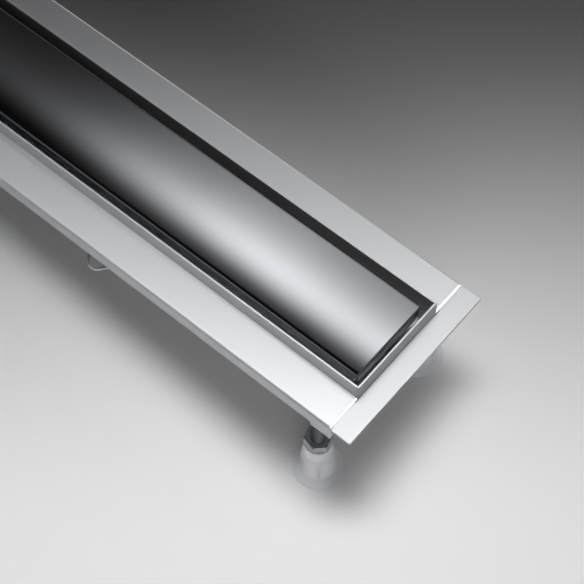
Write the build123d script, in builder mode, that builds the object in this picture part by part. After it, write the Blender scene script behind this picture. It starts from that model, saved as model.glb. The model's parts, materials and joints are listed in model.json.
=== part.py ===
from build123d import *
import os

os.makedirs("parts", exist_ok=True)

# A linear shower drain, in millimetres. X runs along the channel, Y across it and Z up from the
# floor that its feet stand on. The origin is on that floor, under the middle of the channel.

# Channel body, folded from one thickness of stainless sheet
sheet = 1.5
channel_length = 800.0  # over the outside of the rim
rim_width = 76.0  # over the outside of the rim
rim_height = 12.0  # above the flanges
flange_height = 100.0  # top of the flanges above the floor
flange_width = 26.0
lip_depth = 11.5  # from the top of the flange down
end_strip_width = 15.0
lap_length = 12.0  # how far an end rail reaches under each flange
lap_relief = 1.0  # between that lap and the trough's wall
fold_radius = 0.5  # inside each fold of the rails
edge_bevel = 1.3  # ground edge where a flange stops above the end strip

# Trough
end_depth = 20.0  # from the top of the flange to the trough's floor, at its ends
fall = 0.02  # slope of that floor towards the outlet
sump_length = 120.0  # flat part of the floor round the outlet
trough_fold = 1.5  # inside radius of its long folds

# Cover, a polished pan that lies upside down in the rim
cover_sheet = 2.0
cover_drop = 1.5  # its top below the top of the rim
side_gap = 5.25  # between the cover and the rim, along the sides
end_gap = 5.0  # between the cover and the rim, at the ends
cover_skirt = 10.0
cover_fold = 2.5  # outside radius of the long folds
cover_end_fold = 1.2  # outside radius of the end folds
corner_notch = 2.2

# Bridges that carry the cover, and the rubber channels that they stand in
support_spread = (0.375, 0.14)  # their places, as shares of the channel's length from its middle
support_length = 30.0
support_inset = 1.5  # between a bridge's leg and the cover's skirt
pad_floor = 2.0  # rubber under a leg
pad_grip = 4.0  # rubber up the sides of a leg
pad_wall = 1.5

# Outlet socket and trap
socket_bore = 61.0
socket_length = 15.0
seal_thickness = 2.5
seal_height = 8.0
trap_diameter = 96.0
trap_wall = 2.5
trap_height = 54.0  # of its pot
trap_neck = 9.7  # from the trap's shoulder up to the trough
trap_round = 4.0
collar_wall = 3.0
collar_gap = 1.3  # between the top of the collar and the trough
spigot_diameter = 50.0
spigot_lift = 2.0  # above the trap's bottom
spigot_end = 105.0  # from the middle of the channel
spigot_bead = 1.2
spigot_free = 50.0  # from the trap's boss to the spigot's end
boss_wall = 1.6  # round the spigot, which a pipe's socket stops at
seat_step = 0.5  # height of the spigot's shoulder, which meets the boss
band_sheet = 0.8
band_width = 8.0
ear_length = 11.0
ear_gap = 7.0
clamp_screw_diameter = 5.0
clamp_head_width = 8.0
clamp_head_height = 3.5

# What lifts out of the outlet
insert_lip = 2.5  # its flange on the trough's floor, round the socket
insert_flange_sheet = 1.5
insert_clearance = 0.5  # between the insert and the socket, on the radius
insert_depth = 13.0
insert_wall = 4.0
funnel_drop = 8.0
dip_bore = 28.0
dip_wall = 2.0
dip_end = 20.0  # above the floor
ring_groove = 2.5  # depth and height of the ring's groove
ring_drop = 5.5  # middle of the ring below the trough's floor
cup_clearance = 2.0  # between the cup and the socket that it is lifted through
cup_wall = 1.8
cup_lift = 1.5  # above the trap's floor
cup_drop = 2.2  # top of the cup below the funnel
cup_sleeve = 2.0
cup_ribs = 3
strainer_sheet = 1.0
strainer_lip = 3.5  # its flange on the insert's
strainer_depth = 9.0
strainer_clearance = 0.5
strainer_taper = 2.0
strainer_slots = 16
strainer_slot = 2.0  # width of a slot
strainer_land = 2.0  # metal left at both ends of a slot
strainer_knob = 7.0

# Legs
leg_inset = 18.0  # from the end of the rim to the leg's axis
leg_offset = 14.5  # from the side of the rim to the leg's axis
spindle_diameter = 10.0
spindle_headroom = 1.5  # under the flange
spindle_point = 1.0
thread_clearance = 0.05
foot_clearance = 0.08
bracket_sheet = 3.0
bracket_length = 36.0
bracket_nose = 16.0  # the part that reaches out under the lip
bush_wall = 2.0
bush_ledge = 2.0
bush_collar_height = 2.0
bush_below = 7.0  # under the bracket
nut_width = 16.0  # across the flats
nut_height = 8.0
nut_top = 45.0  # above the floor
base_diameter = 33.6
base_edge = 1.2
base_rise = 5.0
hub_wall = 6.4
hub_top = 24.0
hub_taper = 0.8
foot_collar_wall = 4.2
foot_shoulder = 2.0
foot_ribs = 6
foot_rib_width = 1.6
foot_rib_height = 0.8
foot_turn = -49.0  # direction of the first rib, in degrees
foot_floor = 6.0  # plastic under the spindle

# Fixing lugs
lug_inset = 198.0  # from the end of the rim
lug_sheet = 2.0
lug_drop = 28.0  # top of its flat below the flanges
lug_hole = 11.2
lug_rim = 1.3  # metal round the hole, at the tip
lug_reach = 0.5  # tip beyond the lip
lug_root = 42.0  # width at the trough
lug_leg = 18.0  # height of the leg that is welded to the trough
lug_fold = 1.0  # inside radius of its fold

# Sizes that follow from those
half_length = channel_length / 2
half_rim = rim_width / 2
half_width = half_rim + flange_width
rim_top = flange_height + rim_height
flange_under = flange_height - sheet
strip_top = flange_under
strip_under = strip_top - sheet
lip_bottom = flange_height - lip_depth
wall_inside = half_rim
wall_outside = half_rim + sheet
floor_end = flange_height - end_depth
half_sump = sump_length / 2
floor_sump = floor_end - fall * (half_length - half_sump)
floor_under = floor_sump - sheet
cover_top = rim_top - cover_drop
cover_under = cover_top - cover_sheet
half_cover = half_rim - sheet - side_gap
half_cover_length = half_length - sheet - end_gap
support_half = half_cover - cover_sheet - support_inset
support_places = [side * share * channel_length for side in (-1, 1) for share in support_spread]
socket_radius = socket_bore / 2
socket_outside = socket_radius + sheet
socket_bottom = floor_under - socket_length
trap_radius = trap_diameter / 2
room_radius = trap_radius - trap_wall
trap_top = floor_under - trap_neck
trap_bottom = trap_top - trap_height
collar_bore = socket_outside + seal_thickness
collar_outside = collar_bore + collar_wall
collar_top = floor_under - collar_gap
band_bottom = (collar_top + trap_top - band_width) / 2
spigot_radius = spigot_diameter / 2
spigot_axis = trap_bottom + spigot_lift + spigot_radius
seat_radius = spigot_radius - seat_step
seat_end = room_radius + seat_step
boss_end = spigot_end - spigot_free
insert_radius = socket_radius - insert_clearance
insert_bore = insert_radius - insert_wall
insert_bottom = floor_sump - insert_depth
insert_top = floor_sump + insert_flange_sheet
insert_edge = socket_radius + insert_lip
funnel_end = insert_bottom - funnel_drop
cup_radius = insert_radius - cup_clearance
cup_top = funnel_end - cup_drop
cup_bottom = trap_bottom + trap_wall + cup_lift
dip_outside = dip_bore / 2 + dip_wall
leg_x = half_length - leg_inset
leg_y = half_rim + leg_offset
bracket_under = lip_bottom - bracket_sheet
bush_bore = spindle_diameter / 2 + thread_clearance
bush_radius = spindle_diameter / 2 + bush_wall
foot_bore = spindle_diameter / 2 + foot_clearance
hub_radius = foot_bore + hub_wall
foot_collar = foot_bore + foot_collar_wall
spindle_top = flange_under - spindle_headroom
nut_under = nut_top - nut_height
lug_x = half_length - lug_inset
lug_top = flange_height - lug_drop
lug_tip = half_width + lug_reach
lug_hole_y = lug_tip - lug_rim - lug_hole / 2
near_zero = 0.01


def save(piece, name):
    """Labels a finished piece and writes it."""
    piece.part.label = name
    export_step(piece.part, f"parts/{name}.step")


def upright(x, y):
    """The plane that looks along +Y through an upright axis at that place, and the axis."""
    return Plane((x, y, 0), x_dir=(1, 0, 0), z_dir=(0, -1, 0)), Axis((x, y, 0), (0, 0, 1))


def floor_at(x):
    """Height of the trough's floor at a place along the channel."""
    return floor_sump + fall * max(0.0, abs(x) - half_sump)


def side_rail(side):
    """Lip, flange and upright rim, folded from one sheet."""
    with BuildPart() as rail:
        with BuildSketch(Plane.YZ):
            with BuildLine():
                FilletPolyline(
                    (side * half_width, lip_bottom),
                    (side * half_width, flange_height),
                    (side * half_rim, flange_height),
                    (side * half_rim, rim_top),
                    radius=[fold_radius + sheet, fold_radius],
                )
                offset(amount=sheet, side=Side.RIGHT if side < 0 else Side.LEFT)
            make_face()
        extrude(amount=half_length, both=True)
        with BuildSketch(Plane.XY.offset(strip_under)):
            with Locations((half_length, 0), (-half_length, 0)):
                Rectangle(2 * sheet, rim_width)
        extrude(amount=2 * rim_height, mode=Mode.SUBTRACT)
        with BuildSketch(Plane.XZ):
            for end in (-1, 1):
                with BuildLine():
                    Polyline(
                        (end * (half_length - edge_bevel), flange_height),
                        (end * (half_length - edge_bevel), flange_height + edge_bevel),
                        (end * half_length, flange_height + edge_bevel),
                        (end * half_length, flange_height - edge_bevel),
                        close=True,
                    )
                make_face()
        extrude(amount=half_width, both=True, mode=Mode.SUBTRACT)
    return rail


def end_rail(end):
    """The strip across an end and the end of the rim, folded from one sheet and lapped under the flanges."""
    strip_end = half_length + end_strip_width
    strip_start = half_length + fold_radius
    lap_start = half_length - lap_length
    lap_inner = wall_outside + lap_relief
    lap_outer = half_width - sheet - fold_radius
    with BuildPart() as rail:
        with BuildSketch(Plane.XZ):
            with BuildLine():
                FilletPolyline(
                    (end * strip_end, strip_top),
                    (end * half_length, strip_top),
                    (end * half_length, rim_top),
                    radius=fold_radius,
                )
                offset(amount=sheet, side=Side.LEFT if end > 0 else Side.RIGHT)
            make_face()
        extrude(amount=half_rim, both=True)
        with BuildSketch(Plane.XY.offset(strip_under)):
            with Locations((end * (strip_start + strip_end) / 2, 0)):
                Rectangle(strip_end - strip_start, 2 * half_width)
            with Locations((end * (lap_start + strip_start) / 2, 0)):
                with GridLocations(0, lap_inner + lap_outer, 1, 2):
                    Rectangle(strip_start - lap_start, lap_outer - lap_inner)
        extrude(amount=sheet)
    return rail


def trough():
    """A pan folded from one sheet, whose floor falls from both ends to the sump."""

    def side_view(lift):
        return (
            (-half_length, flange_under),
            (-half_length, floor_end + lift),
            (-half_sump, floor_sump + lift),
            (half_sump, floor_sump + lift),
            (half_length, floor_end + lift),
            (half_length, flange_under),
        )

    def long_folds(side):
        def low_and_long(edge):
            middle = edge.center()
            return abs(abs(middle.Y) - side) < near_zero and middle.Z < floor_end and edge.length > end_depth

        return pan.edges().filter_by(low_and_long)

    with BuildPart() as pan:
        with BuildSketch(Plane.XZ):
            with BuildLine():
                Polyline(*side_view(-sheet), close=True)
            make_face()
        extrude(amount=wall_outside, both=True)
        fillet(long_folds(wall_outside), trough_fold + sheet)
        with BuildSketch(Plane.XZ):
            with BuildLine():
                Polyline(*side_view(0), close=True)
            make_face()
        extrude(amount=wall_inside, both=True, mode=Mode.SUBTRACT)
        fillet(long_folds(wall_inside), trough_fold)
        with BuildSketch(Plane.XY.offset(floor_under - sheet)):
            Circle(socket_radius)
        extrude(amount=end_depth, mode=Mode.SUBTRACT)
    return pan


def trough_end(end):
    """The plate that closes one end of the trough."""
    with BuildPart() as plate:
        with BuildSketch(Plane.YZ.offset(half_length if end > 0 else -half_length - sheet)) as face:
            with Locations((0, (strip_under + floor_end - sheet) / 2)):
                Rectangle(2 * wall_outside, strip_under - floor_end + sheet)
            fillet(face.vertices().group_by(Axis.Z)[0], trough_fold + sheet)
        extrude(amount=sheet)
    return plate


def cover():
    """The cover: a pan folded from thick sheet, upside down, with notched corners."""
    skirt_bottom = cover_top - cover_skirt
    with BuildPart() as plate:
        with BuildSketch(Plane.XY.offset(skirt_bottom)):
            Rectangle(2 * half_cover_length, 2 * half_cover)
        extrude(amount=cover_skirt)
        fillet(plate.edges().group_by(Axis.Z)[-1].filter_by(Axis.X), cover_fold)
        fillet(plate.edges().group_by(Axis.Z)[-1].filter_by(Axis.Y), cover_end_fold)
        with BuildSketch(Plane.XY.offset(skirt_bottom)):
            Rectangle(2 * (half_cover_length - cover_sheet), 2 * (half_cover - cover_sheet))
        extrude(amount=cover_skirt - cover_sheet, mode=Mode.SUBTRACT)
        with BuildSketch(Plane.XY.offset(skirt_bottom)):
            with GridLocations(2 * half_cover_length, 2 * half_cover, 2, 2):
                Rectangle(2 * corner_notch, 2 * corner_notch)
        extrude(amount=cover_skirt - cover_fold, mode=Mode.SUBTRACT)
    return plate


def above_floor(place, lift, top):
    """Side view of the room over the trough's floor at a bridge, up to a height."""
    near = place - support_length
    far = place + support_length
    return (near, floor_at(near) + lift), (far, floor_at(far) + lift), (far, top), (near, top)


def cover_support(place):
    """A folded bridge that stands in the trough and carries the cover."""
    with BuildPart() as bridge:
        with BuildSketch(Plane.YZ.offset(place)):
            with BuildLine():
                FilletPolyline(
                    (-support_half, floor_sump),
                    (-support_half, cover_under),
                    (support_half, cover_under),
                    (support_half, floor_sump),
                    radius=fold_radius + sheet,
                )
                offset(amount=sheet, side=Side.RIGHT)
            make_face()
        extrude(amount=support_length / 2, both=True)
        with BuildSketch(Plane.XZ):
            with BuildLine():
                Polyline(*above_floor(place, pad_floor, rim_top), close=True)
            make_face()
        extrude(amount=half_rim, both=True, mode=Mode.INTERSECT)
    return bridge


def support_pad(place, side):
    """The rubber channel that one leg of a bridge stands in."""
    leg_middle = support_half - sheet / 2
    pad_half = sheet / 2 + pad_wall
    with BuildPart() as pad:
        with BuildSketch(Plane.YZ.offset(place)):
            with Locations((side * leg_middle, (floor_sump + floor_end) / 2 + pad_floor + pad_grip)):
                Rectangle(2 * pad_half, floor_end)
        extrude(amount=support_length / 2, both=True)
        with BuildSketch(Plane.XZ):
            with BuildLine():
                Polyline(*above_floor(place, 0, floor_at(place) + pad_floor + pad_grip), close=True)
            make_face()
        extrude(amount=half_rim, both=True, mode=Mode.INTERSECT)
        with BuildSketch(Plane.XZ.offset(-side * leg_middle)):
            with BuildLine():
                Polyline(*above_floor(place, pad_floor, rim_top), close=True)
            make_face()
        extrude(amount=sheet / 2, both=True, mode=Mode.SUBTRACT)
    return pad


def outlet_socket():
    """The short tube welded under the hole in the sump."""
    with BuildPart() as tube:
        with BuildSketch(Plane.XY.offset(socket_bottom)):
            Circle(socket_outside)
            Circle(socket_radius, mode=Mode.SUBTRACT)
        extrude(amount=socket_length)
    return tube


def trap_body():
    """The moulded pot of the trap, with the boss that the outlet spigot is welded into."""
    with BuildPart() as body:
        with BuildSketch(Plane.XY.offset(trap_bottom)):
            Circle(trap_radius)
        extrude(amount=trap_top - trap_bottom)
        chamfer(body.edges().group_by(Axis.Z)[0], trap_round)
        with BuildSketch(Plane.YZ.offset(-boss_end)):
            with Locations((0, spigot_axis)):
                Circle(spigot_radius + boss_wall)
        extrude(amount=boss_end)
        with BuildSketch(Plane.XY.offset(trap_bottom + trap_wall)):
            Circle(room_radius)
        extrude(amount=trap_top - trap_bottom - trap_wall, mode=Mode.SUBTRACT)
        with BuildSketch(Plane.YZ.offset(-boss_end)):
            with Locations((0, spigot_axis)):
                Circle(seat_radius)
        extrude(amount=boss_end - seat_end, mode=Mode.SUBTRACT)
        with BuildSketch(Plane.YZ.offset(-boss_end)):
            with Locations((0, spigot_axis)):
                Circle(spigot_radius - trap_wall)
        extrude(amount=boss_end, mode=Mode.SUBTRACT)
    return body


def trap_lid():
    """The trap's top, which is welded into the pot's rim, with the collar that the channel's socket enters."""
    with BuildPart() as lid:
        with BuildSketch(Plane.XY.offset(trap_top - trap_wall)):
            Circle(room_radius)
        extrude(amount=trap_wall)
        with BuildSketch(Plane.XY.offset(trap_top)):
            Circle(collar_outside)
        extrude(amount=collar_top - trap_top)
        with BuildSketch(Plane.XY.offset(trap_top - trap_wall)):
            Circle(collar_bore)
        extrude(amount=collar_top - trap_top + trap_wall, mode=Mode.SUBTRACT)
    return lid


def trap_outlet():
    """The outlet spigot, with a shoulder that meets the trap's boss."""
    outside = spigot_axis + spigot_radius
    with BuildPart() as outlet:
        with BuildSketch(Plane.XZ):
            with BuildLine():
                Polyline(
                    (-spigot_end, outside - trap_wall),
                    (-spigot_end, outside - spigot_bead),
                    (spigot_bead - spigot_end, outside),
                    (-boss_end, outside),
                    (-boss_end, outside - seat_step),
                    (-seat_end, outside - seat_step),
                    (-seat_end, outside - trap_wall),
                    close=True,
                )
            make_face()
        revolve(axis=Axis((0, 0, spigot_axis), (1, 0, 0)))
    return outlet


def trap_seal():
    """The rubber ring between the socket and the trap's collar."""
    bottom = (collar_top + trap_top - seal_height) / 2
    lip = seal_height / 4
    with BuildPart() as ring:
        with BuildSketch(Plane.XZ):
            with BuildLine():
                Polyline(
                    (socket_outside, bottom),
                    (collar_bore, bottom + lip),
                    (collar_bore, bottom + seal_height - lip),
                    (socket_outside, bottom + seal_height),
                    close=True,
                )
            make_face()
        revolve(axis=Axis.Z)
    return ring


def clamp_band():
    """The open band round the collar, with an ear at each side of its gap."""
    outside = collar_outside + band_sheet
    ear_middle = outside + ear_length / 2 - band_sheet / 2
    screw_y = outside + ear_length / 2
    screw_z = band_bottom + band_width / 2
    with BuildPart() as band:
        with BuildSketch(Plane.XY.offset(band_bottom)):
            Circle(outside)
            with Locations((0, ear_middle)):
                Rectangle(ear_gap + 2 * band_sheet, ear_length + band_sheet)
            Circle(collar_outside, mode=Mode.SUBTRACT)
            with Locations((0, outside + ear_length / 2)):
                Rectangle(ear_gap, 2 * ear_length, mode=Mode.SUBTRACT)
        extrude(amount=band_width)
        with BuildSketch(Plane.YZ):
            with Locations((screw_y, screw_z)):
                Circle(clamp_screw_diameter / 2 + thread_clearance)
        extrude(amount=ear_gap, both=True, mode=Mode.SUBTRACT)
    return band


def clamp_hardware():
    """The screw and the nut that draw the ears together."""
    outside = collar_outside + band_sheet
    place = (outside + ear_length / 2, band_bottom + band_width / 2)
    seat = ear_gap / 2 + band_sheet
    with BuildPart() as screw:
        with BuildSketch(Plane.YZ.offset(seat)):
            with Locations(place):
                RegularPolygon(clamp_head_width / 2, 6, major_radius=False)
        extrude(amount=clamp_head_height)
        with BuildSketch(Plane.YZ.offset(seat)):
            with Locations(place):
                Circle(clamp_screw_diameter / 2)
        extrude(amount=-2 * seat - 1.5 * clamp_head_height)
    with BuildPart() as nut:
        with BuildSketch(Plane.YZ.offset(-seat)):
            with Locations(place):
                RegularPolygon(clamp_head_width / 2, 6, major_radius=False)
                Circle(clamp_screw_diameter / 2, mode=Mode.SUBTRACT)
        extrude(amount=-clamp_head_height)
    return screw, nut


def trap_insert():
    """The funnel and dip tube that lift out of the outlet, with a groove for their ring."""
    groove_middle = floor_sump - ring_drop
    groove_half = ring_groove / 2
    groove_floor = socket_radius - ring_groove
    with BuildPart() as funnel:
        with BuildSketch(Plane.XZ):
            with BuildLine():
                Polyline(
                    (insert_bore, insert_top),
                    (insert_edge, insert_top),
                    (insert_edge, floor_sump),
                    (insert_radius, floor_sump),
                    (insert_radius, groove_middle + groove_half),
                    (groove_floor, groove_middle + groove_half),
                    (groove_floor, groove_middle - groove_half),
                    (insert_radius, groove_middle - groove_half),
                    (insert_radius, insert_bottom),
                    (dip_outside, funnel_end),
                    (dip_outside, dip_end),
                    (dip_bore / 2, dip_end),
                    (dip_bore / 2, funnel_end + dip_wall),
                    (insert_bore, insert_bottom + dip_wall),
                    close=True,
                )
            make_face()
        revolve(axis=Axis.Z)
    return funnel


def insert_ring():
    """The rubber ring in the insert's groove, whose lip touches the socket's bore."""
    middle = floor_sump - ring_drop
    half = ring_groove / 2
    with BuildPart() as ring:
        with BuildSketch(Plane.XZ):
            with BuildLine():
                Polyline(
                    (socket_radius - ring_groove, middle - half),
                    (insert_radius, middle - half),
                    (socket_radius, middle),
                    (insert_radius, middle + half),
                    (socket_radius - ring_groove, middle + half),
                    close=True,
                )
            make_face()
        revolve(axis=Axis.Z)
    return ring


def trap_cup():
    """The cup that holds the water seal, held on the dip tube by its ribbed sleeve."""
    inside = cup_radius - cup_wall
    sleeve_outside = dip_outside + cup_sleeve
    sleeve_bottom = (cup_bottom + cup_top) / 2
    with BuildPart() as cup:
        with BuildSketch(Plane.XY.offset(cup_bottom)):
            Circle(cup_radius)
        extrude(amount=cup_top - cup_bottom)
        chamfer(cup.edges().group_by(Axis.Z)[0], cup_wall)
        with BuildSketch(Plane.XY.offset(cup_bottom + cup_wall)):
            Circle(inside)
        extrude(amount=cup_top - cup_bottom, mode=Mode.SUBTRACT)
        with BuildSketch(Plane.XY.offset(sleeve_bottom)):
            Circle(sleeve_outside)
            with PolarLocations((dip_outside + inside) / 2, cup_ribs):
                Rectangle(inside - dip_outside + cup_wall, cup_wall)
            Circle(dip_outside, mode=Mode.SUBTRACT)
        extrude(amount=cup_top - sleeve_bottom)
    return cup


def strainer():
    """The slotted basket in the mouth of the insert, with a knob to lift it by."""
    outside = insert_bore - strainer_clearance
    foot = outside - strainer_taper
    top = insert_top + strainer_sheet
    bottom = top - strainer_depth
    slot_start = strainer_knob / 2 + strainer_land + strainer_slot
    slot_end = foot - strainer_sheet - strainer_land
    with BuildPart() as basket:
        with BuildSketch(Plane.XZ):
            with BuildLine():
                Polyline(
                    (0, bottom),
                    (foot, bottom),
                    (outside, insert_top),
                    (insert_bore + strainer_lip, insert_top),
                    (insert_bore + strainer_lip, top),
                    (outside - strainer_sheet, top),
                    (foot - strainer_sheet, bottom + strainer_sheet),
                    (strainer_knob / 2, bottom + strainer_sheet),
                    (strainer_knob / 4, bottom + strainer_depth / 2),
                    (strainer_knob / 2, top),
                    (0, top),
                    close=True,
                )
            make_face()
        revolve(axis=Axis.Z)
        with BuildSketch(Plane.XY.offset(bottom - strainer_sheet)):
            with PolarLocations((slot_start + slot_end) / 2, strainer_slots):
                Rectangle(slot_end - slot_start, strainer_slot)
        extrude(amount=3 * strainer_sheet, mode=Mode.SUBTRACT)
    return basket


def leg_bracket(end, side):
    """The plate under the lip that holds a leg's bush."""
    inner = half_length - bracket_length
    nose = half_length - bracket_nose
    with BuildPart() as bracket:
        with BuildSketch(Plane.XY.offset(bracket_under)) as outline:
            with BuildLine():
                Polyline(
                    (end * inner, side * wall_outside),
                    (end * half_length, side * wall_outside),
                    (end * half_length, side * half_width),
                    (end * nose, side * half_width),
                    (end * nose, side * (half_width - sheet)),
                    (end * inner, side * (half_width - sheet)),
                    close=True,
                )
            make_face()
            with Locations((end * leg_x, side * leg_y)):
                Circle(bush_radius, mode=Mode.SUBTRACT)
        extrude(amount=bracket_sheet)
        at_nose = bracket.edges().filter_by(Axis.Z).filter_by_position(
            Axis.Y, *sorted((side * (half_width - near_zero), side * (half_width + near_zero))))
        fillet(at_nose.sort_by(Axis.X)[0 if end > 0 else -1], sheet - near_zero)
    return bracket


def leg_bush(x, y):
    """The threaded bush pressed into the bracket from above."""
    plane, axis = upright(x, y)
    bottom = bracket_under - bush_below
    top = lip_bottom + bush_collar_height
    with BuildPart() as bush:
        with BuildSketch(plane):
            with BuildLine():
                Polyline(
                    (bush_bore, bottom),
                    (bush_radius, bottom),
                    (bush_radius, lip_bottom),
                    (bush_radius + bush_ledge, lip_bottom),
                    (bush_radius + bush_ledge, top),
                    (bush_bore, top),
                    close=True,
                )
            make_face()
        revolve(axis=axis)
    return bush


def leg_spindle(x, y):
    """The threaded rod, pointed at both ends."""
    with BuildPart() as spindle:
        with BuildSketch(Plane.XY.offset(foot_floor)):
            with Locations((x, y)):
                Circle(spindle_diameter / 2)
        extrude(amount=spindle_top - foot_floor)
        chamfer(spindle.edges().filter_by(GeomType.CIRCLE), spindle_point)
    return spindle


def leg_nut(x, y):
    """The hexagon that turns the spindle, with its corners turned off."""
    corner = nut_width / 3**0.5
    slope = (corner - nut_width / 2) * 0.6
    plane, axis = upright(x, y)
    with BuildPart() as nut:
        with BuildSketch(Plane.XY.offset(nut_under)):
            with Locations((x, y)):
                RegularPolygon(nut_width / 2, 6, major_radius=False, rotation=foot_turn - 25)
        extrude(amount=nut_height)
        with BuildSketch(plane):
            with BuildLine():
                Polyline(
                    (0, nut_under),
                    (nut_width / 2, nut_under),
                    (corner, nut_under + slope),
                    (corner, nut_top - slope),
                    (nut_width / 2, nut_top),
                    (0, nut_top),
                    close=True,
                )
            make_face()
        revolve(axis=axis, mode=Mode.INTERSECT)
        with BuildSketch(Plane.XY.offset(nut_under)):
            with Locations((x, y)):
                Circle(spindle_diameter / 2)
        extrude(amount=nut_height, mode=Mode.SUBTRACT)
    return nut


def leg_foot(x, y):
    """The plastic foot: a wide base, a ribbed hub and a plain collar under the hexagon."""
    plane, axis = upright(x, y)
    with BuildPart() as foot:
        with BuildSketch(plane):
            with BuildLine():
                Polyline(
                    (0, 0),
                    (base_diameter / 2, 0),
                    (base_diameter / 2, base_edge),
                    (hub_radius, base_rise),
                    (hub_radius - hub_taper, hub_top),
                    (foot_collar, hub_top + foot_shoulder),
                    (foot_collar, nut_under),
                    (foot_bore, nut_under),
                    (foot_bore, foot_floor),
                    (0, foot_floor),
                    close=True,
                )
            make_face()
        revolve(axis=axis)
        with BuildSketch(Plane.XY.offset(base_edge)):
            with Locations((x, y)):
                with PolarLocations(hub_radius - hub_taper, foot_ribs, start_angle=foot_turn):
                    Rectangle(2 * (foot_rib_height + hub_taper), foot_rib_width)
        extrude(amount=hub_top - base_edge)
    return foot


def fixing_lug(end, side):
    """The bent strap that ties the trough to the screed, with a hole in its rounded tip."""
    root = wall_outside + lug_sheet / 2
    bottom = lug_top - lug_sheet
    with BuildPart() as lug:
        with BuildSketch(Plane.XY.offset(bottom)):
            with Locations((end * lug_x, side * lug_hole_y)):
                Circle(lug_hole / 2 + lug_rim)
            with Locations((end * lug_x, side * root)):
                Rectangle(lug_root, lug_sheet)
            make_hull()
            with Locations((end * lug_x, side * lug_hole_y)):
                Circle(lug_hole / 2, mode=Mode.SUBTRACT)
        extrude(amount=lug_sheet)
        with BuildSketch(Plane.XY.offset(bottom)):
            with Locations((end * lug_x, side * root)):
                Rectangle(lug_root, lug_sheet)
        extrude(amount=lug_leg)
        along = lug.edges().filter_by(Axis.X)
        fillet(along.filter_by_position(Axis.Z, bottom - near_zero, bottom + near_zero), lug_sheet + lug_fold)
        inside = lug.edges().filter_by(Axis.X).filter_by_position(
            Axis.Z, lug_top - near_zero, lug_top + near_zero)
        fillet(inside, lug_fold)
    return lug


save(side_rail(-1), "front_rail")
save(side_rail(1), "back_rail")
save(trough(), "trough")
save(cover(), "cover_plate")
save(outlet_socket(), "outlet_socket")
save(trap_body(), "trap_body")
save(trap_lid(), "trap_lid")
save(trap_outlet(), "trap_outlet")
save(trap_seal(), "trap_seal")
save(clamp_band(), "clamp_band")
save(trap_insert(), "trap_insert")
save(insert_ring(), "insert_ring")
save(trap_cup(), "trap_cup")
save(strainer(), "strainer")
clamp_parts = clamp_hardware()
save(clamp_parts[0], "clamp_screw")
save(clamp_parts[1], "clamp_nut")

for end, end_name in ((1, "near"), (-1, "far")):
    save(end_rail(end), f"end_rail_{end_name}")
    save(trough_end(end), f"trough_end_{end_name}")
    for side, side_name in ((-1, "front"), (1, "back")):
        corner_name = f"{side_name}_{end_name}"
        x, y = end * leg_x, side * leg_y
        save(leg_bracket(end, side), f"leg_bracket_{corner_name}")
        save(leg_bush(x, y), f"leg_bush_{corner_name}")
        save(leg_spindle(x, y), f"spindle_{corner_name}")
        save(leg_nut(x, y), f"spindle_nut_{corner_name}")
        save(leg_foot(x, y), f"foot_{corner_name}")
        save(fixing_lug(end, side), f"fixing_lug_{corner_name}")

for number, place in enumerate(support_places, start=1):
    save(cover_support(place), f"cover_support_{number}")
    for side, side_name in ((-1, "front"), (1, "back")):
        save(support_pad(place, side), f"support_pad_{side_name}_{number}")
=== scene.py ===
import json
import math

import bmesh
import bpy
from mathutils import Matrix, Vector


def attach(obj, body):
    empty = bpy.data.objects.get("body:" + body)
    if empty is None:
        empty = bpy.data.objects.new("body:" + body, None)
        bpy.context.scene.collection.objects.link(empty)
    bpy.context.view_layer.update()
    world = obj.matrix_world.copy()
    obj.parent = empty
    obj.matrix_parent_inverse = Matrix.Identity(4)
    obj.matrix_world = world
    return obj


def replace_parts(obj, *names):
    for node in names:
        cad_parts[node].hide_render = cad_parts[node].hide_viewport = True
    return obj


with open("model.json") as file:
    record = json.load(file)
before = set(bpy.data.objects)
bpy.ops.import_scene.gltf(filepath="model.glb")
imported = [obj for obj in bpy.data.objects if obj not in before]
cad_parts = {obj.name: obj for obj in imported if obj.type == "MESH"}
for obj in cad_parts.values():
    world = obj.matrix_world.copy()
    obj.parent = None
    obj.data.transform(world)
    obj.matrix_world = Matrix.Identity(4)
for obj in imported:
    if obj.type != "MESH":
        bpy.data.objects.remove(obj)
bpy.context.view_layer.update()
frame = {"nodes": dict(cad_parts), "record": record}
nodes = frame["nodes"]
mm = 0.001
bodies = frame["record"]["behaviour"]["bodies"]
bodyOf = {node: body for body, members in bodies.items() for node in members}
slotOf = {part["node"]: part["material_slot"] for part in frame["record"]["subparts"]}
legX, legY = 382.0, 52.5  # from the channel's middle to a leg's axis, in mm
legs = {f"{side}_{end}": (x, y) for side, y in (("front", -legY), ("back", legY))
        for end, x in (("near", legX), ("far", -legX))}
mergeDistance = 0.002 * mm
sharpAngle = math.radians(30)  # edges sharper than this stay sharp, and are broken by a bevel


def toLinear(colour):
    # sRGB hex to what a shader socket takes
    shares = [int(colour[i:i + 2], 16) / 255 for i in (1, 3, 5)]
    return [s / 12.92 if s <= 0.04045 else ((s + 0.055) / 1.055) ** 2.4 for s in shares] + [1.0]


def addNode(tree, kind, settings=None, inputs=None):
    # inputs maps a socket's name or number to a value or to the socket that feeds it
    node = tree.nodes.new(kind)
    for name, value in (settings or {}).items():
        setattr(node, name, value)
    for key, value in (inputs or {}).items():
        if isinstance(value, bpy.types.NodeSocket):
            tree.links.new(value, node.inputs[key])
        else:
            node.inputs[key].default_value = value
    return node


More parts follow.
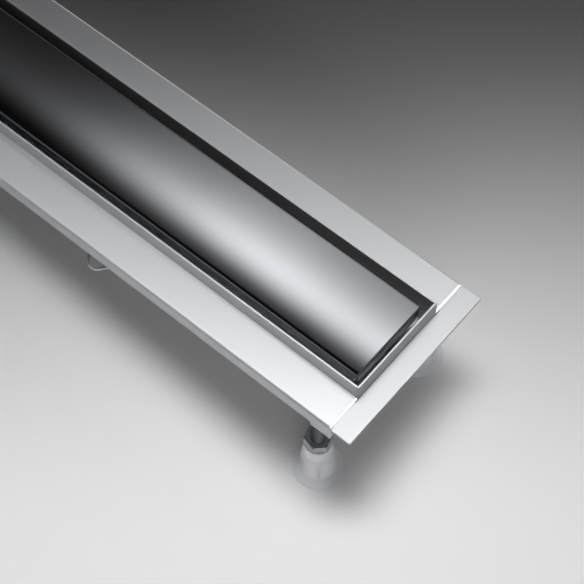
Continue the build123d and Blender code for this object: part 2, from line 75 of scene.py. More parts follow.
def makeFinish(name, look):
    # Two patterns shade every finish: its grain, from how the surface was made, and its cloud, from
    # handling. Both are given in patterns per metre along X, Y and Z.
    material = bpy.data.materials.new(name)
    material.use_nodes = True
    tree = material.node_tree
    tree.nodes.clear()
    here = addNode(tree, "ShaderNodeTexCoord").outputs["Object"]
    patterns = []
    for scale, detail in ((look["grain"], look["grainDetail"]), (look["cloud"], 2.0)):
        spot = addNode(tree, "ShaderNodeMapping", None, {"Vector": here, "Scale": scale}).outputs[0]
        patterns.append(addNode(tree, "ShaderNodeTexNoise", None, {
            "Vector": spot, "Scale": 1.0, "Detail": detail, "Roughness": 0.6}).outputs["Fac"])
    grain, cloud = patterns
    both = addNode(tree, "ShaderNodeMix", {"data_type": "FLOAT"}, {
        0: look["cloudShare"], 2: grain, 3: cloud}).outputs[0]
    colour = addNode(tree, "ShaderNodeMix", {"data_type": "RGBA"}, {
        0: both, 6: toLinear(look["dark"]), 7: toLinear(look["light"])}).outputs[2]
    rough = addNode(tree, "ShaderNodeMapRange", None, {
        "Value": both, "From Min": 0.25, "From Max": 0.75, "To Min": look["rough"][0],
        "To Max": look["rough"][1]}).outputs["Result"]
    rolled = addNode(tree, "ShaderNodeBump", None, {
        "Height": cloud, "Distance": look["cloudDepth"]}).outputs[0]
    skin = addNode(tree, "ShaderNodeBump", None, {
        "Height": grain, "Distance": look["grainDepth"], "Normal": rolled}).outputs[0]
    shader = addNode(tree, "ShaderNodeBsdfPrincipled", None, {
        "Base Color": colour, "Roughness": rough, "Normal": skin, **look["shader"]})
    addNode(tree, "ShaderNodeOutputMaterial", None, {"Surface": shader.outputs[0]})
    return material


# Stainless sheet, cold rolled and satin ground along its length: a soft, bright, even sheen with a fine
# straight grain. The grain is 0.1 mm wide and is drawn 0.5 mm wide, so that it shows.
satin = {
    "light": "#CFD0D2", "dark": "#C1C2C4", "rough": (0.54, 0.62),
    "grain": (22, 2000, 2000), "grainDetail": 3.0,
    "cloud": (14, 22, 22), "cloudShare": 0.4, "grainDepth": 0.003 * mm, "cloudDepth": 0.01 * mm,
    "shader": {"Metallic": 1.0},
}
# Stainless sheet, mirror polished: it shows the studio almost sharply, dimmed and a little cool, with
# hairlines from wiping, drawn 0.4 mm wide, and a slight roll in the sheet.
polished = {
    "light": "#DEE0E4", "dark": "#D3D5D9", "rough": (0.045, 0.085),
    "grain": (60, 2600, 2600), "grainDetail": 4.0,
    "cloud": (9, 16, 16), "cloudShare": 0.6, "grainDepth": 0.0002 * mm, "cloudDepth": 0.012 * mm,
    "shader": {"Metallic": 1.0},
}
# Stainless sheet, deep drawn and punched: brighter than the channel, with faint rings pulled down its
# wall.
drawn = {
    "light": "#DDDFE2", "dark": "#C9CBCF", "rough": (0.2, 0.32),
    "grain": (500, 500, 2200), "grainDetail": 3.0,
    "cloud": (90, 90, 60), "cloudShare": 0.3, "grainDepth": 0.004 * mm, "cloudDepth": 0.02 * mm,
    "shader": {"Metallic": 1.0},
}
# Stainless weld metal, laid by hand and pickled: pale, matt and a little frosty beside the sheet.
pickled = {
    "light": "#C9CACB", "dark": "#A9A9AA", "rough": (0.45, 0.6),
    "grain": (1500, 1500, 1500), "grainDetail": 3.0,
    "cloud": (200, 200, 200), "cloudShare": 0.3, "grainDepth": 0.02 * mm, "cloudDepth": 0.02 * mm,
    "shader": {"Metallic": 1.0},
}
# Steel, turned and zinc plated: a cool grey sheen, a little mottled.
zincPlated = {
    "light": "#C8CACE", "dark": "#9C9FA4", "rough": (0.22, 0.38),
    "grain": (900, 900, 900), "grainDetail": 3.0,
    "cloud": (250, 250, 250), "cloudShare": 0.4, "grainDepth": 0.008 * mm, "cloudDepth": 0.02 * mm,
    "shader": {"Metallic": 1.0},
}
# Steel rod with a rolled thread, oiled and dull: dark and mottled, with broken glints on its crests.
threadSteel = {
    "light": "#A6A7AA", "dark": "#5A5A5C", "rough": (0.36, 0.62),
    "grain": (1100, 1100, 1100), "grainDetail": 4.0,
    "cloud": (300, 300, 300), "cloudShare": 0.4, "grainDepth": 0.03 * mm, "cloudDepth": 0.03 * mm,
    "shader": {"Metallic": 0.9},
}
# Polypropylene, injection moulded and unfilled: milky, with light in its thin edges and a fine eroded
# skin, whose grain is 0.1 mm in the mould and is drawn 0.4 mm wide.
naturalPlastic = {
    "light": "#F0F0F3", "dark": "#E4E5E9", "rough": (0.34, 0.46),
    "grain": (2500, 2500, 2500), "grainDetail": 3.0,
    "cloud": (60, 60, 40), "cloudShare": 0.6, "grainDepth": 0.008 * mm, "cloudDepth": 0.03 * mm,
    "shader": {"IOR": 1.49, "Subsurface Weight": 0.35, "Subsurface Radius": (1.0, 0.95, 0.9),
               "Subsurface Scale": 4.0 * mm},
}
# Polypropylene, injection moulded and filled grey: a closed, even, slightly waxy grey.
greyPlastic = {
    "light": "#92969B", "dark": "#7E8288", "rough": (0.36, 0.5),
    "grain": (2500, 2500, 2500), "grainDetail": 3.0,
    "cloud": (40, 40, 25), "cloudShare": 0.5, "grainDepth": 0.012 * mm, "cloudDepth": 0.04 * mm,
    "shader": {"IOR": 1.49, "Subsurface Weight": 0.08, "Subsurface Radius": (1.0, 1.0, 1.0),
               "Subsurface Scale": 2.0 * mm},
}
# EPDM rubber, moulded: near black and dull, with a dusty bloom.
rubber = {
    "light": "#323233", "dark": "#181819", "rough": (0.62, 0.85),
    "grain": (1200, 1200, 1200), "grainDetail": 3.0,
    "cloud": (160, 160, 160), "cloudShare": 0.5, "grainDepth": 0.015 * mm, "cloudDepth": 0.02 * mm,
    "shader": {"IOR": 1.52},
}
satinAcross = makeFinish("satinStainlessEnds", satin | {"grain": (2000, 22, 2000), "cloud": (22, 14, 22)})
weldMetal = makeFinish("pickledWeld", pickled)
materials = {
    "satin_stainless": makeFinish("satinStainless", satin),
    "polished_stainless": makeFinish("polishedStainless", polished),
    "strainer_stainless": makeFinish("drawnStainless", drawn),
    "zinc_plated_steel": makeFinish("zincPlatedSteel", zincPlated),
    "black_steel_thread": makeFinish("rolledThreadSteel", threadSteel),
    "natural_polypropylene": makeFinish("naturalPolypropylene", naturalPlastic),
    "grey_polypropylene": makeFinish("greyPolypropylene", greyPlastic),
    "black_rubber": makeFinish("epdmRubber", rubber),
}
print("made", len(bpy.data.materials), "materials")


def pieceName(node):
    # such as footFrontNear for foot_front_near
    first, *rest = node.split("_")
    return first + "".join(word.title() for word in rest)


def addPiece(name, mesh, node, material):
    # a finished piece that goes with a CAD node's body and takes the finish that it is given
    piece = bpy.data.objects.new(name, mesh)
    bpy.context.scene.collection.objects.link(piece)
    mesh.materials.clear()
    mesh.materials.append(material)
    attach(piece, bodyOf[node])
    return piece


def tidyShape(shape, mesh):
    # merged, with no slivers, and smooth but for its sharp edges
    bmesh.ops.remove_doubles(shape, verts=shape.verts, dist=mergeDistance)
    bmesh.ops.dissolve_degenerate(shape, edges=shape.edges, dist=mergeDistance / 2)
    for face in shape.faces:
        face.smooth = True
    for edge in shape.edges:
        edge.smooth = len(edge.link_faces) == 2 and edge.calc_face_angle(0.0) < sharpAngle
    shape.to_mesh(mesh)
    shape.free()
    return mesh


def finishNode(node, width, material, clamp):
    # A copy of the node's mesh with its edges broken, as ground or moulded ones are. Its normals are
    # weighted by area, so that a flat face stays flat in a reflection beside the rounds of its folds.
    mesh = nodes[node].data.copy()
    shape = bmesh.new()
    shape.from_mesh(mesh)
    bmesh.ops.remove_doubles(shape, verts=shape.verts, dist=mergeDistance)
    bmesh.ops.dissolve_limit(shape, angle_limit=flatAngle, verts=shape.verts, edges=shape.edges)
    tidyShape(shape, mesh)
    piece = addPiece(pieceName(node), mesh, node, material)
    bevel = piece.modifiers.new("brokenEdges", "BEVEL")
    bevel.width = width
    bevel.segments = 2
    bevel.limit_method = "ANGLE"
    bevel.angle_limit = sharpAngle
    bevel.use_clamp_overlap = clamp
    flat = piece.modifiers.new("flatFaces", "WEIGHTED_NORMAL")
    flat.mode = "FACE_AREA"
    flat.weight = 100
    flat.keep_sharp = True
    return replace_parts(piece, node)


flatAngle = math.radians(0.4)  # facets that turn less than this from each other are one flat face
edgeWidths = {  # in mm
    "front_rail": 0.25, "back_rail": 0.25, "end_rail_near": 0.25, "end_rail_far": 0.25,
    "cover_plate": 0.3, "trough": 0.15, "trough_end_near": 0.2, "trough_end_far": 0.2,
    "outlet_socket": 0.2, "trap_body": 0.4, "trap_insert": 0.3, "trap_cup": 0.3, "strainer": 0.12,
    "clamp_band": 0.12, "clamp_screw": 0.2, "clamp_nut": 0.2, "trap_lid": 0.4, "trap_outlet": 0.3,
}
for leg in legs:
    edgeWidths |= {f"leg_bracket_{leg}": 0.25, f"leg_bush_{leg}": 0.2, f"fixing_lug_{leg}": 0.2,
                   f"spindle_nut_{leg}": 0.18}
for number in (1, 2, 3, 4):
    edgeWidths[f"cover_support_{number}"] = 0.15
for node, width in edgeWidths.items():
    # The end rails were ground across the channel. A hexagon's bevel is clamped, because the fine arcs of
    # its chamfers leave little room.
    material = satinAcross if node.startswith("end_rail") else materials[slotOf[node]]
    finishNode(node, width * mm, material, node.startswith("spindle_nut"))
print("finished", len(edgeWidths), "pieces from the CAD meshes")


def newTree(name, sizes):
    # a Geometry Nodes tree with a named input for each size, and its group input and output
    tree = bpy.data.node_groups.new(name, "GeometryNodeTree")
    tree.interface.new_socket("Geometry", in_out="INPUT", socket_type="NodeSocketGeometry")
    for label, kind in sizes.items():
        tree.interface.new_socket(label, in_out="INPUT", socket_type="NodeSocket" + kind)
    tree.interface.new_socket("Geometry", in_out="OUTPUT", socket_type="NodeSocketGeometry")
    return tree, addNode(tree, "NodeGroupInput").outputs


def endTree(tree, geometry, material):
    # every tree ends in real geometry with its finish set
    real = addNode(tree, "GeometryNodeRealizeInstances", None, {"Geometry": geometry})
    dressed = addNode(tree, "GeometryNodeSetMaterial", None, {
        "Geometry": real.outputs[0], "Material": material})
    addNode(tree, "NodeGroupOutput", None, {"Geometry": dressed.outputs[0]})


def grow(name, tree, values, start=None):
    # what the tree makes, as a plain mesh
    maker = bpy.data.objects.new(name + "Maker", start or bpy.data.meshes.new(name + "Start"))
    bpy.context.scene.collection.objects.link(maker)
    modifier = maker.modifiers.new(name, "NODES")
    modifier.node_group = tree
    for item in tree.interface.items_tree:
        if item.in_out == "INPUT" and item.name in values:
            modifier[item.identifier] = values[item.name]
    mesh = bpy.data.meshes.new_from_object(maker.evaluated_get(bpy.context.evaluated_depsgraph_get()))
    maker.modifiers.clear()
    bpy.data.objects.remove(maker)
    shape = bmesh.new()
    shape.from_mesh(mesh)
    bmesh.ops.recalc_face_normals(shape, faces=shape.faces)
    return tidyShape(shape, mesh)


def makeThreadTree():
    # A threaded rod, bent from a flat grid. Its rows of points climb round it with the pitch: two for the
    # root and two for the crest. Its ends are flat and chamfered, and the first and last row close them.
    sizes = dict.fromkeys(("Radius", "Depth", "Pitch", "Flank", "Bottom", "Top", "Point"), "Float")
    sizes |= {"Rows": "Int", "Sides": "Int"}
    tree, given = newTree("threadedRod", sizes | {"Centre": "Vector", "Material": "Material"})
    grid = addNode(tree, "GeometryNodeMeshGrid", None, {"Vertices X": given["Rows"]})
    here = addNode(tree, "GeometryNodeInputPosition").outputs[0]
    place = addNode(tree, "ShaderNodeSeparateXYZ", None, {0: here})
    # Each step names its result, its operation and what goes in: a group input, an earlier result or a
    # number. The thread starts a pitch under the rod's end, so the rows count from the sixth.
    known = {name: given[name] for name in sizes}
    known |= {"gridX": place.outputs[0], "gridY": place.outputs[1]}
    for result, operation, *sources in (
            ("lastRow", "SUBTRACT", "Rows", 1), ("columns", "ADD", "Sides", 1),
            ("rowPlace", "MULTIPLY_ADD", "lastRow", 0.5, "gridX"), ("row", "ROUND", "rowPlace"),
            ("column", "MULTIPLY_ADD", "Sides", 0.5, "gridY"), ("share", "DIVIDE", "column", "Sides"),
            ("step", "SUBTRACT", "row", 5), ("halfStep", "MULTIPLY", "step", 0.5),
            ("pair", "FLOOR", "halfStep"), ("odd", "MULTIPLY_ADD", "pair", -2, "step"),
            ("pairTurns", "MULTIPLY_ADD", "pair", 0.5, "share"),
            ("turns", "MULTIPLY_ADD", "odd", "Flank", "pairTurns"),
            ("climb", "MULTIPLY_ADD", "turns", "Pitch", "Bottom"),
            ("above", "MAXIMUM", "climb", "Bottom"),
            ("height", "MINIMUM", "above", "Top"), ("nextStep", "ADD", "step", 1),
            ("nextHalf", "MULTIPLY", "nextStep", 0.5), ("nextPair", "FLOOR", "nextHalf"),
            ("crest", "FLOORED_MODULO", "nextPair", 2), ("root", "SUBTRACT", "Radius", "Depth"),
            ("wave", "MULTIPLY_ADD", "crest", "Depth", "root"), ("tip", "SUBTRACT", "Radius", "Point"),
            ("fromBottom", "SUBTRACT", "height", "Bottom"), ("fromTop", "SUBTRACT", "Top", "height"),
            ("fromEnd", "MINIMUM", "fromBottom", "fromTop"), ("cone", "ADD", "tip", "fromEnd"),
            ("reach", "MINIMUM", "wave", "cone"), ("started", "GREATER_THAN", "row", 0.5),
            ("lastHalf", "SUBTRACT", "lastRow", 0.5), ("going", "LESS_THAN", "row", "lastHalf"),
            ("open", "MULTIPLY", "started", "going"), ("radius", "MULTIPLY", "reach", "open"),
            ("angle", "MULTIPLY", "share", math.tau), ("cosine", "COSINE", "angle"),
            ("sine", "SINE", "angle"), ("x", "MULTIPLY", "radius", "cosine"),
            ("y", "MULTIPLY", "radius", "sine")):
        known[result] = addNode(tree, "ShaderNodeMath", {"operation": operation}, {
            number: known.get(source, source) for number, source in enumerate(sources)}).outputs[0]
    for socket, name in (("Size X", "lastRow"), ("Size Y", "Sides"), ("Vertices Y", "columns")):
        tree.links.new(known[name], grid.inputs[socket])
    rounded = addNode(tree, "ShaderNodeCombineXYZ", None, {
        0: known["x"], 1: known["y"], 2: known["height"]})
    placed = addNode(tree, "ShaderNodeVectorMath", {"operation": "ADD"}, {
        0: rounded.outputs[0], 1: given["Centre"]})
    bent = addNode(tree, "GeometryNodeSetPosition", None, {
        "Geometry": grid.outputs[0], "Position": placed.outputs[0]})
    whole = addNode(tree, "GeometryNodeMergeByDistance", None, {
        "Geometry": bent.outputs[0], "Distance": mergeDistance})
    endTree(tree, whole.outputs[0], given["Material"])
    return tree


thread = {  # an M10 rod, in mm, but for its flank, which is a share of the pitch
    "radius": 5.0, "depth": 0.92, "pitch": 1.5, "flank": 0.36, "bottom": 6.0, "top": 97.0, "point": 1.0,
    "sides": 28,
}
# four rows a pitch, with a pitch more than the rod at each end, and three rows to end and close it
threadRows = 4 * math.ceil((thread["top"] - thread["bottom"]) / thread["pitch"] + 2) + 3
threadTree = makeThreadTree()
for leg, (x, y) in legs.items():
    node = f"spindle_{leg}"
    mesh = grow(pieceName(node), threadTree, {
        "Radius": thread["radius"] * mm, "Depth": thread["depth"] * mm, "Pitch": thread["pitch"] * mm,
        "Flank": thread["flank"], "Bottom": thread["bottom"] * mm, "Top": thread["top"] * mm,
        "Point": thread["point"] * mm, "Rows": threadRows, "Sides": thread["sides"],
        "Centre": (x * mm, y * mm, 0), "Material": materials[slotOf[node]]})
    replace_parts(addPiece(pieceName(node), mesh, node, materials[slotOf[node]]), node)
print("cut the threads of", len(legs), "spindles")


def roundedProfile(points, steps=5):
    # (radius, height, rounding) corners as a smooth run of points, from pole to pole
    run = []
    for number, (r, z, rounding) in enumerate(points):
        if not rounding:
            run.append((r, z))
            continue
        corner = Vector((r, z))
        arms = [Vector(points[number + turn][:2]) - corner for turn in (-1, 1)]
        half = arms[0].angle(arms[1]) / 2
        reach = rounding / math.tan(half)
        bisector = (arms[0].normalized() + arms[1].normalized()).normalized()
        middle = corner + bisector * rounding / math.sin(half)
        ends = [corner + arm.normalized() * reach - middle for arm in arms]
        turn = ends[0].angle_signed(ends[1])
        for step in range(steps + 1):
            spoke = ends[0].copy()
            spoke.rotate(Matrix.Rotation(-turn * step / steps, 2))
            run.append(tuple(middle + spoke))
    return run


def turned(name, run, sides, x, y):
    # a closed shape turned round an upright axis; run and place are in mm
    mesh = bpy.data.meshes.new(name)
    shape = bmesh.new()
    path = [shape.verts.new((r * mm, 0, z * mm)) for r, z in run]
    edges = [shape.edges.new(pair) for pair in zip(path, path[1:])]
    bmesh.ops.spin(shape, geom=path + edges, cent=(0, 0, 0), axis=(0, 0, 1), angle=math.tau, steps=sides)
    bmesh.ops.translate(shape, verts=shape.verts, vec=(x * mm, y * mm, 0))
    bmesh.ops.remove_doubles(shape, verts=shape.verts, dist=mergeDistance)
    bmesh.ops.recalc_face_normals(shape, faces=shape.faces)
    return tidyShape(shape, mesh)


def makeRibTree():
    # upright ribs with rounded edges round a hub, joined to the turned foot that they stand on
    lengths = dict.fromkeys(("Low Radius", "High Radius", "Low", "High", "Width", "Rounding"), "Float")
    tree, given = newTree("footRibs", lengths | {
        "Count": "Int", "Turn": "Float", "Centre": "Vector", "Material": "Material"})
    low = addNode(tree, "ShaderNodeCombineXYZ", None, {0: given["Low Radius"], 2: given["Low"]})
    high = addNode(tree, "ShaderNodeCombineXYZ", None, {0: given["High Radius"], 2: given["High"]})
    line = addNode(tree, "GeometryNodeCurvePrimitiveLine", None, {
        "Start": low.outputs[0], "End": high.outputs[0]})
    section = addNode(tree, "GeometryNodeCurvePrimitiveQuadrilateral", None, {
        "Width": given["Width"], "Height": given["Width"]})
    softened = addNode(tree, "GeometryNodeFilletCurve", {"mode": "POLY"}, {
        "Curve": section.outputs[0], "Count": 3, "Radius": given["Rounding"]})
    rib = addNode(tree, "GeometryNodeCurveToMesh", None, {
        "Curve": line.outputs[0], "Profile Curve": softened.outputs[0], "Fill Caps": True})
    places = addNode(tree, "GeometryNodePoints", None, {"Count": given["Count"]})
    number = addNode(tree, "GeometryNodeInputIndex").outputs[0]
    share = addNode(tree, "ShaderNodeMath", {"operation": "DIVIDE"}, {0: number, 1: given["Count"]})
    angle = addNode(tree, "ShaderNodeMath", {"operation": "MULTIPLY_ADD"}, {
        0: share.outputs[0], 1: math.tau, 2: given["Turn"]})
    turn = addNode(tree, "ShaderNodeCombineXYZ", None, {2: angle.outputs[0]})
    ribs = addNode(tree, "GeometryNodeInstanceOnPoints", None, {
        "Points": places.outputs[0], "Instance": rib.outputs[0], "Rotation": turn.outputs[0]})
    stood = addNode(tree, "GeometryNodeRealizeInstances", None, {"Geometry": ribs.outputs[0]})
    moved = addNode(tree, "GeometryNodeTransform", None, {
        "Geometry": stood.outputs[0], "Translation": given["Centre"]})
    joined = addNode(tree, "GeometryNodeJoinGeometry", None, {0: moved.outputs[0]})
    tree.links.new(given["Geometry"], joined.inputs[0])
    endTree(tree, joined.outputs[0], given["Material"])
    return tree


foot = {  # in mm and degrees; its profile is radius, height and rounding, from its underside to its bore
    "profile": [(0, 0, 0), (16.8, 0, 0.35), (16.8, 1.2, 0.5), (11.9, 4.2, 3.4), (10.75, 23.4, 0.9),
                (9.28, 26.0, 1.0), (9.28, 37.0, 0.4), (5.08, 37.0, 0.3), (5.08, 6.0, 0), (0, 6.0, 0)],
    "sides": 72, "ribs": 6, "ribWidth": 1.6, "ribRounding": 0.45, "ribLow": 2.4, "ribHigh": 22.4,
    "ribLowRadius": 12.3, "ribHighRadius": 9.7, "firstRib": -49.0,
}
ribTree = makeRibTree()
for leg, (x, y) in legs.items():
    node = f"foot_{leg}"
    name = pieceName(node)
    body = turned(name + "Turned", roundedProfile(foot["profile"]), foot["sides"], x, y)
    mesh = grow(name, ribTree, {
        "Count": foot["ribs"], "Low Radius": foot["ribLowRadius"] * mm,
        "High Radius": foot["ribHighRadius"] * mm, "Low": foot["ribLow"] * mm,
        "High": foot["ribHigh"] * mm, "Width": foot["ribWidth"] * mm,
        "Rounding": foot["ribRounding"] * mm, "Turn": math.radians(foot["firstRib"]),
        "Centre": (x * mm, y * mm, 0), "Material": materials[slotOf[node]]}, body)
    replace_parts(addPiece(name, mesh, node, materials[slotOf[node]]), node)
print("turned and ribbed", len(legs), "feet")


def makeBeadTree():
    # ripples of weld metal laid one over the other along each run of edges
    tree, given = newTree("weldBead", {
        "Spacing": "Float", "Length": "Float", "Width": "Float", "Seed": "Int", "Material": "Material"})
    runs = addNode(tree, "GeometryNodeMeshToCurve", None, {"Mesh": given["Geometry"]})
    stops = addNode(tree, "GeometryNodeResampleCurve", {"mode": "LENGTH"}, {
        "Curve": runs.outputs[0], "Length": given["Spacing"]})
    along = addNode(tree, "GeometryNodeInputTangent").outputs[0]
    aimed = addNode(tree, "FunctionNodeAlignRotationToVector", {"axis": "X"}, {"Vector": along})
    drop = addNode(tree, "GeometryNodeMeshUVSphere", None, {"Segments": 8, "Rings": 6, "Radius": 1.0})
    uneven = addNode(tree, "FunctionNodeRandomValue", {"data_type": "FLOAT"}, {
        2: 0.85, 3: 1.1, "Seed": given["Seed"]}).outputs[1]
    wide = addNode(tree, "ShaderNodeMath", {"operation": "MULTIPLY"}, {0: given["Width"], 1: uneven})
    size = addNode(tree, "ShaderNodeCombineXYZ", None, {
        0: given["Length"], 1: wide.outputs[0], 2: wide.outputs[0]})
    ripples = addNode(tree, "GeometryNodeInstanceOnPoints", None, {
        "Points": stops.outputs[0], "Instance": drop.outputs[0], "Rotation": aimed.outputs[0],
        "Scale": size.outputs[0]})
    endTree(tree, ripples.outputs[0], given["Material"])
    return tree


# the beads' sizes, and the places in mm where the parts of the channel are welded
weld = {
    "spacing": 1.1, "length": 0.9, "width": 1.15, "seed": 4,
    "socketRadius": 32.2, "socketHeight": 71.6, "socketSteps": 48,
    "endX": 400.1, "endOutline": [(-39.4, 96.0), (-39.4, 80.5), (-37.5, 78.4),
                                  (37.5, 78.4), (39.4, 80.5), (39.4, 96.0)],  # Y and Z round an end plate
    "bracket": ((366.0, 398.0), 39.6, 85.4), "lug": ((184.0, 220.0), 39.7, 88.0),  # both X, then Y and Z
}
socketSpokes = [turn * math.tau / weld["socketSteps"] for turn in range(weld["socketSteps"] + 1)]
weldRuns = [[(weld["socketRadius"] * math.cos(spoke), weld["socketRadius"] * math.sin(spoke),
              weld["socketHeight"]) for spoke in socketSpokes]]
for end in (1, -1):
    weldRuns.append([(end * weld["endX"], y, z) for y, z in weld["endOutline"]])
    for side in (1, -1):
        for reach, y, z in (weld["bracket"], weld["lug"]):
            weldRuns.append([(end * x, side * y, z) for x in reach])
runMesh = bpy.data.meshes.new("weldRuns")
points = [tuple(value * mm for value in point) for run in weldRuns for point in run]
starts = [sum(map(len, weldRuns[:number])) for number in range(len(weldRuns))]
runMesh.from_pydata(points, [(start + step, start + step + 1) for start, run in zip(starts, weldRuns)
                             for step in range(len(run) - 1)], [])
beads = grow("weldBeads", makeBeadTree(), {
    "Spacing": weld["spacing"] * mm, "Length": weld["length"] * mm, "Width": weld["width"] * mm,
    "Seed": weld["seed"], "Material": weldMetal}, runMesh)
addPiece("weldBeads", beads, "trough", weldMetal)
print("laid", len(weldRuns), "weld beads")

for node, part in nodes.items():
    if not part.hide_render:
        part.data.materials.clear()
        part.data.materials.append(materials[slotOf[node]])
print("gave the pads and rubber rings their finish")


def addCard(name, corners, material):
    # a flat thing of the studio's, from its corners in metres
    mesh = bpy.data.meshes.new(name)
    mesh.from_pydata(corners, [], [range(len(corners))])
    mesh.materials.append(material)
    card = bpy.data.objects.new(name, mesh)
    bpy.context.scene.collection.objects.link(card)
    return card


# The floor is matt painted board, so it gives the eye one even tone that only the light shades.
board = {
    "light": "#EEEEEE", "dark": "#F1F1F1", "rough": (0.85, 0.9),
    "grain": (30, 30, 30), "grainDetail": 2.0,
    "cloud": (3, 3, 3), "cloudShare": 0.5, "grainDepth": 0.0, "cloudDepth": 0.0, "shader": {"IOR": 1.45},
}
halfFloor = 3.0  # half of its side, in metres
addCard("floor", [(-halfFloor, -halfFloor, 0), (halfFloor, -halfFloor, 0), (halfFloor, halfFloor, 0),
                  (-halfFloor, halfFloor, 0)], makeFinish("paintedBoard", board))

# A lit reflector hangs over the channel for the polished cover to show. It is dark where the cover's
# front edge and its far end show it. Brightness runs are pairs of a place in metres and a share of the
# strength.
reflector = {
    "height": 0.5, "x": (-0.75, 0.62), "y": (0.12, 0.7), "strength": 1.17,
    "along": [(-0.40, 0.02), (-0.30, 0.03), (-0.20, 0.04), (-0.14, 0.06), (-0.08, 0.13), (-0.02, 0.33),
              (0.05, 0.62), (0.10, 0.87), (0.155, 1.0), (0.19, 0.96), (0.24, 0.88), (0.29, 0.93),
              (0.4, 0.93)],
    "across": [(0.120, 0.004), (0.129, 0.005), (0.1314, 0.01), (0.1335, 0.022), (0.1357, 0.04),
               (0.14, 0.105), (0.1436, 0.23), (0.1472, 0.40), (0.155, 0.82), (0.1616, 1.0), (0.167, 0.99),
               (0.1731, 0.92), (0.1846, 0.655), (0.199, 0.458), (0.2133, 0.34), (0.225, 0.31),
               (0.26, 0.30), (0.32, 0.28)],
}
lit = bpy.data.materials.new("coverReflector")
lit.use_nodes = True
tree = lit.node_tree
tree.nodes.clear()
here = addNode(tree, "ShaderNodeTexCoord").outputs["Object"]
split = addNode(tree, "ShaderNodeSeparateXYZ", None, {0: here}).outputs
level = reflector["strength"]
for value, stops in ((split[0], reflector["along"]), (split[1], reflector["across"])):
    low, high = stops[0][0], stops[-1][0]
    share = addNode(tree, "ShaderNodeMapRange", None, {"Value": value, "From Min": low, "From Max": high})
    ramp = addNode(tree, "ShaderNodeValToRGB", None, {"Fac": share.outputs["Result"]})
    ramp.color_ramp.interpolation = "B_SPLINE"
    marks = ramp.color_ramp.elements
    marks[0].color = (stops[0][1],) * 3 + (1,)
    marks[1].color = (stops[-1][1],) * 3 + (1,)
    for place, brightness in stops[1:-1]:
        marks.new((place - low) / (high - low)).color = (brightness,) * 3 + (1,)
    dimmed = addNode(tree, "ShaderNodeMath", {"operation": "MULTIPLY"}, {0: ramp.outputs[0], 1: level})
    level = dimmed.outputs[0]
glow = addNode(tree, "ShaderNodeEmission", None, {"Strength": level})
addNode(tree, "ShaderNodeOutputMaterial", None, {"Surface": glow.outputs[0]})
(xLow, xHigh), (yLow, yHigh), z = reflector["x"], reflector["y"], reflector["height"]
corners = [(xLow, yLow, z), (xLow, yHigh, z), (xHigh, yHigh, z), (xHigh, yLow, z)]
sheet = addCard("coverReflector", corners, lit)
sheet.visible_camera = sheet.visible_shadow = sheet.visible_diffuse = False

# The studio's walls are pale and its ceiling is dark. The change from one to the other starts and ends at
# a rise, which is 0 for a level direction and 1 for straight up.
studio = {"colour": "#FFFFFF", "walls": 0.2, "ceiling": 0.005, "wallsEnd": 0.2, "ceilingStart": 0.5}
world = bpy.data.worlds.new("studio")
bpy.context.scene.world = world
world.use_nodes = True
tree = world.node_tree
tree.nodes.clear()
direction = addNode(tree, "ShaderNodeTexCoord").outputs["Generated"]
rise = addNode(tree, "ShaderNodeSeparateXYZ", None, {0: direction}).outputs[2]
level = addNode(tree, "ShaderNodeMapRange", {"interpolation_type": "SMOOTHSTEP"}, {
    "Value": rise, "From Min": studio["wallsEnd"], "From Max": studio["ceilingStart"],
    "To Min": studio["walls"], "To Max": studio["ceiling"]})
sky = addNode(tree, "ShaderNodeBackground", None, {
    "Color": toLinear(studio["colour"]), "Strength": level.outputs["Result"]})
addNode(tree, "ShaderNodeOutputWorld", None, {"Surface": sky.outputs[0]})

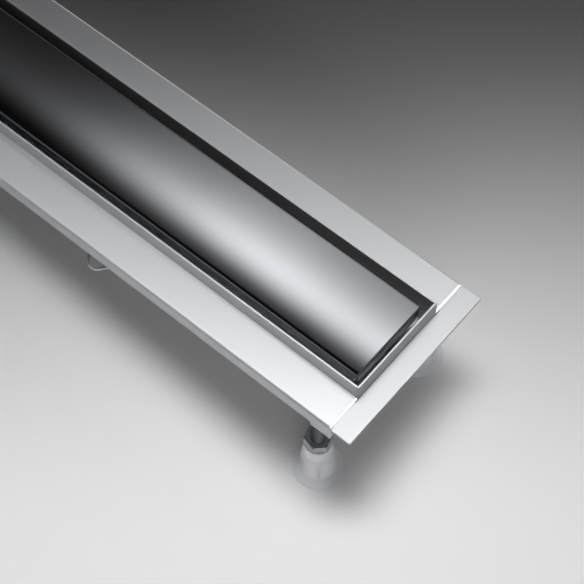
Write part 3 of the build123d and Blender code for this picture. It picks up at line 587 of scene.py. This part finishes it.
# A long strip box over the channel lights all but the cover. A low box in front fills the shadow under
# the near end, a box past the far end draws the front flange's sheen out along it, and a low one past the
# near end lights the ground edges where the flanges stop above the end strip. One draws a line along the
# front flange's fold, and the last fills the channel's back. Places and sizes are in metres, turns and
# spreads in degrees. A box lights all but the pieces that it skips, or only those that it names.
rails = ("frontRail", "backRail", "endRailNear", "endRailFar")
lamps = {
    "stripBox": {
        "place": (0.115, -0.165, 1.15), "turn": (-8, 0, 40), "length": 1.5, "width": 0.25,
        "spread": 40, "power": 1.66, "skips": ("coverPlate",)},
    "frontBox": {
        "place": (0.75, -0.50, 0.42), "turn": (62, 0, 42), "length": 0.5, "width": 0.3,
        "spread": 70, "power": 0.2, "skips": ("coverPlate", *rails)},
    "flangeBox": {
        "place": (-0.50, 0.36, 1.15), "turn": (-20, -25, 0), "length": 0.5, "width": 0.3,
        "spread": 80, "power": 0.28, "lights": ("frontRail",)},
    "seamBox": {
        "place": (1.12, 0.28, 0.31), "turn": (75, 0, 111), "length": 0.35, "width": 0.3,
        "spread": 90, "power": 1.5, "lights": ("frontRail", "backRail")},
    "foldBox": {
        "place": (-0.05, -0.68, 0.85), "turn": (39, 0, 0), "length": 0.9, "width": 0.2,
        "spread": 120, "power": 0.9, "lights": ("frontRail",)},
    "backBox": {
        "place": (-0.5, 1.6, 0.55), "turn": (74, 0, 163), "length": 1.6, "width": 0.8,
        "spread": 150, "power": 6.0, "skips": ("floor", "coverPlate", "frontRail")},
}
for name, box in lamps.items():
    lamp = bpy.data.lights.new(name, "AREA")
    lamp.shape = "RECTANGLE"
    lamp.energy, lamp.size, lamp.size_y = box["power"], box["length"], box["width"]
    lamp.spread = math.radians(box["spread"])
    holder = bpy.data.objects.new(name, lamp)
    holder.location = box["place"]
    holder.rotation_euler = [math.radians(turn) for turn in box["turn"]]
    bpy.context.scene.collection.objects.link(holder)
    linked = bpy.data.collections.new(name + "Linked")
    holder.light_linking.receiver_collection = linked
    for key, state in (("skips", "EXCLUDE"), ("lights", "INCLUDE")):
        for piece in box.get(key, ()):
            linked.objects.link(bpy.data.objects[piece])
            linked.collection_objects[-1].light_linking.link_state = state

# the photo's viewpoint, in metres and degrees, with the lens in mm
viewpoint = {"place": (0.65592, -0.39569, 1.00119), "turn": (29.5624, 0.2859, 40.1060), "lens": 103.67,
             "sensor": 36, "nearest": 0.01}
camera = bpy.data.objects.new("camera", bpy.data.cameras.new("camera"))
camera.location = viewpoint["place"]
camera.rotation_euler = [math.radians(turn) for turn in viewpoint["turn"]]
camera.data.lens = viewpoint["lens"]
camera.data.sensor_width = viewpoint["sensor"]
camera.data.clip_start = viewpoint["nearest"]
bpy.context.scene.collection.objects.link(camera)
bpy.context.scene.camera = camera
bpy.context.scene.view_settings.view_transform = "Standard"
print("set the studio")
